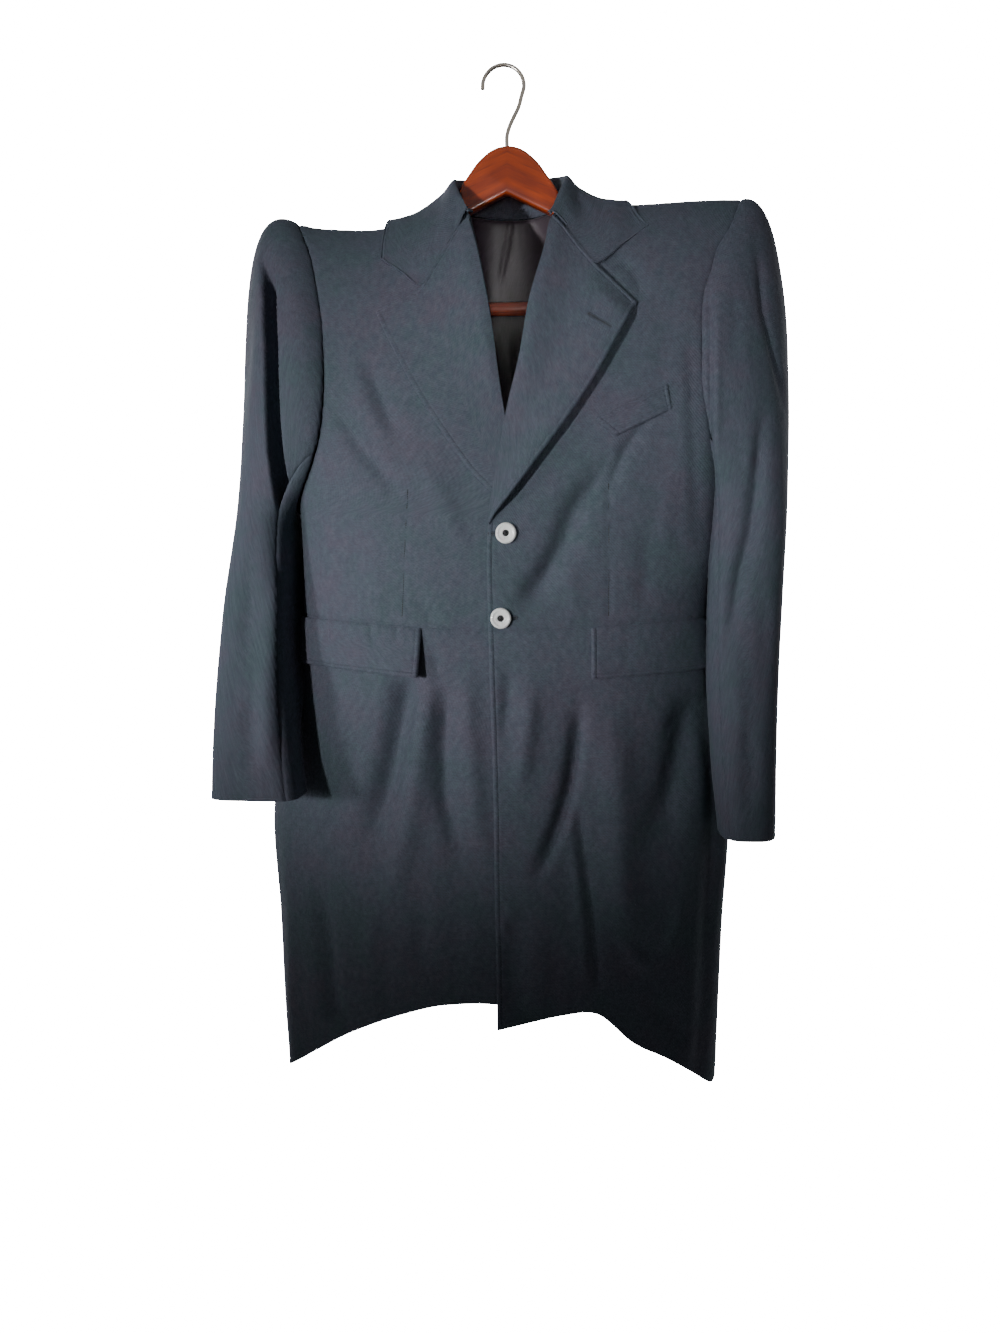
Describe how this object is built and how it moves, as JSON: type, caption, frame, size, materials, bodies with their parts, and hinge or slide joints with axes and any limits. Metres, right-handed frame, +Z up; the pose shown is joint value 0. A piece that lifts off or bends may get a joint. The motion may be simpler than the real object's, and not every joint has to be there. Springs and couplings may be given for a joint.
{
  "type": "frock coat on a wooden hanger",
  "caption": "Single-breasted wool frock coat with notched lapels, waist seam and flared skirts, hanging on a wooden trouser-bar hanger by its wire hook.",
  "frame": {"origin": "inside top of the hanger's wire hook, where a rail carries it", "axes": "+Z up, -Y out of the coat's front, +X towards the wearer's left"},
  "size_m": [0.5915, 0.2287, 1.0786],
  "materials": {
    "wool": "fine blue-grey twill wool, soft sheen",
    "satin": "dark satin lining",
    "button": "pearly pale rim and dark sunk eye",
    "hanger_wood": "glossy cherry-red lacquer",
    "bar_wood": "lacquered round bar",
    "hook_steel": "bright plated wire"
  },
  "bodies": {
    "root": {"back_left": "wool", "back_lining": "satin", "back_right": "wool", "breast_welt": "wool", "button_bottom": "button", "button_top": "button", "collar": "wool", "flap_left": "wool", "flap_right": "wool", "forepart_left": "wool", "forepart_right": "wool", "hanger_bar": "bar_wood", "hanger_body": "hanger_wood", "hanger_hook": "hook_steel", "lapel_left": "wool", "lapel_right": "wool", "skirt_left": "wool", "skirt_right": "wool", "topsleeve_left": "wool", "topsleeve_right": "wool", "undersleeve_left": "wool", "undersleeve_right": "wool"}
  },
  "joints": []
}
